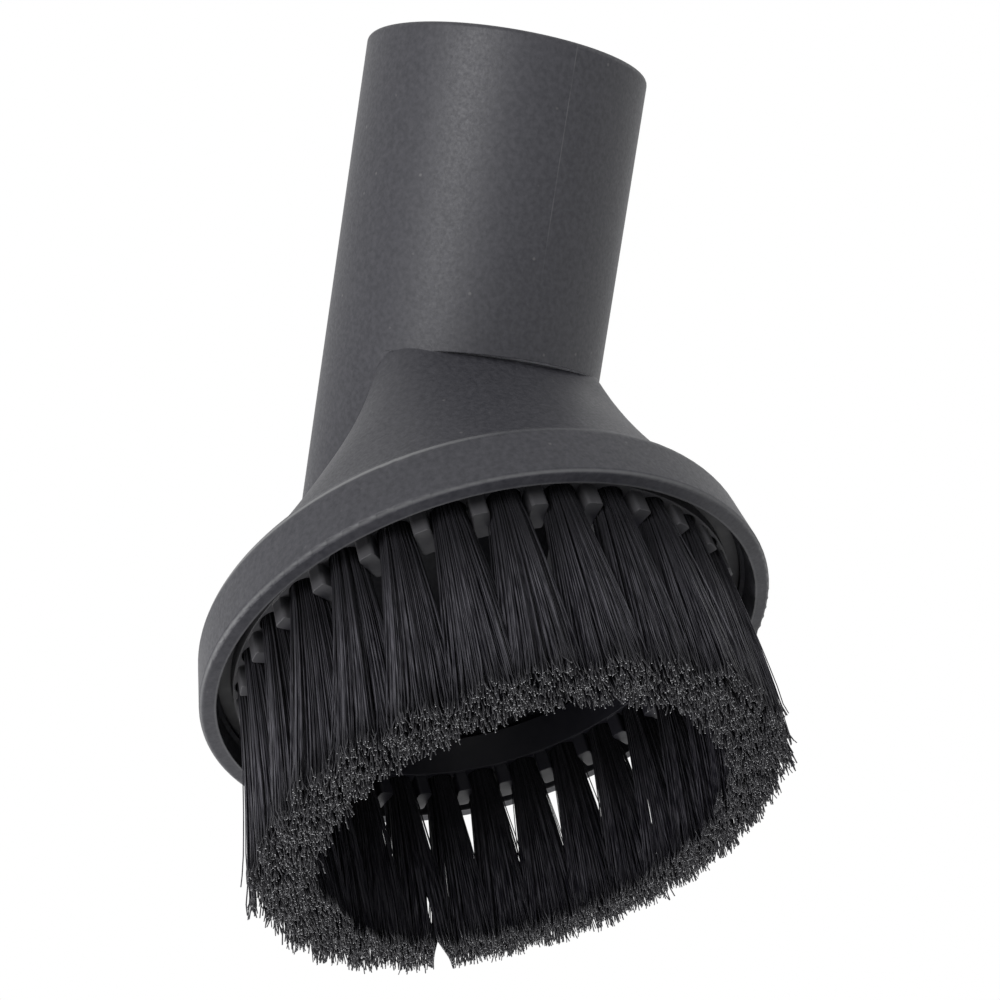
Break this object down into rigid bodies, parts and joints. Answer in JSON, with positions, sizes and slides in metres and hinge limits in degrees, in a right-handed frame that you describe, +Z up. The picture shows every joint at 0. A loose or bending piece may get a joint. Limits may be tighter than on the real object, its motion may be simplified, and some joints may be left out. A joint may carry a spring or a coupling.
{
  "type": "vacuum dusting brush",
  "caption": "Round dusting brush for a vacuum cleaner: a leaning socket neck on a flared head with a ring of bristle tufts.",
  "frame": {"origin": "centre of the circle of bristle tips, on the plane that the brush stands on", "axes": "+Z up along the head's axis, from the bristle tips to the neck; the neck leans towards +X; Y = 0 is the body's plane of symmetry"},
  "size_m": [0.0968, 0.0746, 0.1066],
  "materials": {
    "housing": "satin charcoal moulded plastic with a fine grain",
    "ring": "smooth charcoal moulded plastic",
    "bristles": "fine black nylon filament",
    "wire": "plain staple wire"
  },
  "bodies": {
    "root": {"body": "housing", "bristle_ring": "ring", "tuft_staples": "wire", "tuft_01": "bristles", "tuft_02": "bristles", "tuft_03": "bristles", "tuft_04": "bristles", "tuft_05": "bristles", "tuft_06": "bristles", "tuft_07": "bristles", "tuft_08": "bristles", "tuft_09": "bristles", "tuft_10": "bristles", "tuft_11": "bristles", "tuft_12": "bristles", "tuft_13": "bristles", "tuft_14": "bristles", "tuft_15": "bristles", "tuft_16": "bristles", "tuft_17": "bristles", "tuft_18": "bristles", "tuft_19": "bristles", "tuft_20": "bristles", "tuft_21": "bristles", "tuft_22": "bristles", "tuft_23": "bristles", "tuft_24": "bristles", "tuft_25": "bristles", "tuft_26": "bristles", "tuft_27": "bristles", "tuft_28": "bristles", "tuft_29": "bristles", "tuft_30": "bristles"}
  },
  "joints": []
}
